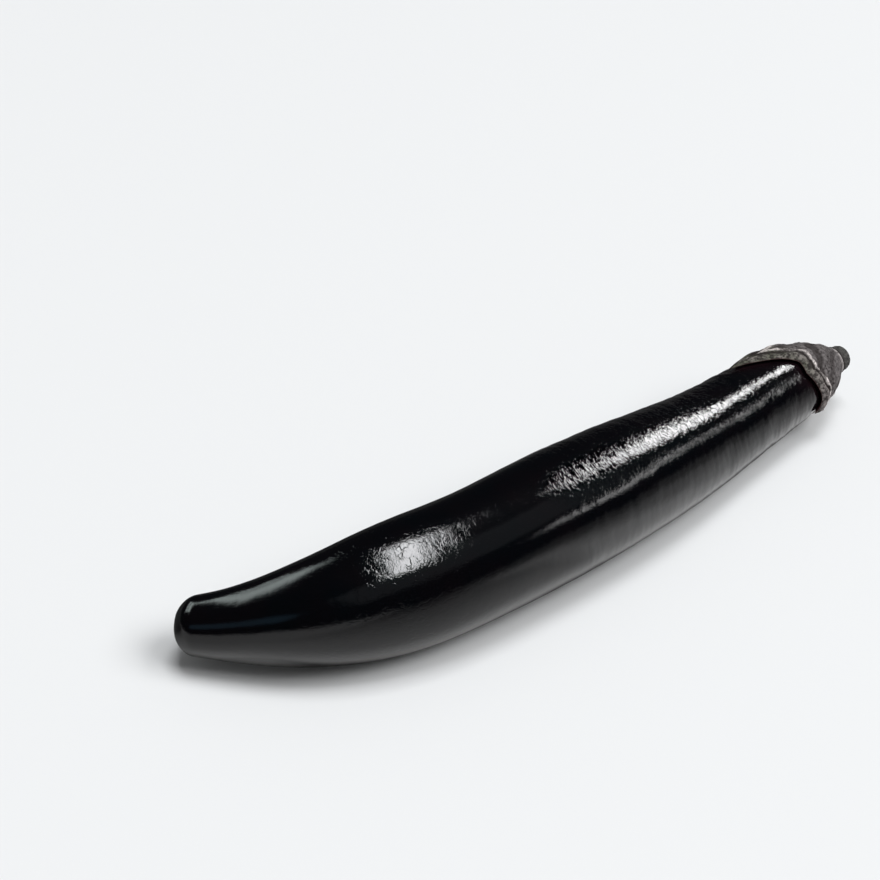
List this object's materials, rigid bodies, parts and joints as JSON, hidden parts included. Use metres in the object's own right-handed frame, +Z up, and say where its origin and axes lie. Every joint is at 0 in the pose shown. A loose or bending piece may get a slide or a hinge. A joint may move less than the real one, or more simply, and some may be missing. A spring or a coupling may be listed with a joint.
{
  "type": "long black eggplant",
  "caption": "Long slender black eggplant lying on its side, with a slightly bent glossy fruit, a thick lobed calyx and a short cut stem.",
  "frame": {"origin": "centre of the bounding box on the surface that the eggplant lies on", "axes": "+X from the blossom end to the stem, +Z up, the belly bulging towards -Y and both ends bending towards +Y"},
  "size_m": [0.2672, 0.0566, 0.0416],
  "materials": {
    "skin": "gloss",
    "calyx": "matte",
    "stem": "matte"
  },
  "bodies": {
    "root": {"fruit": "skin", "calyx": "calyx", "stem": "stem"}
  },
  "joints": []
}
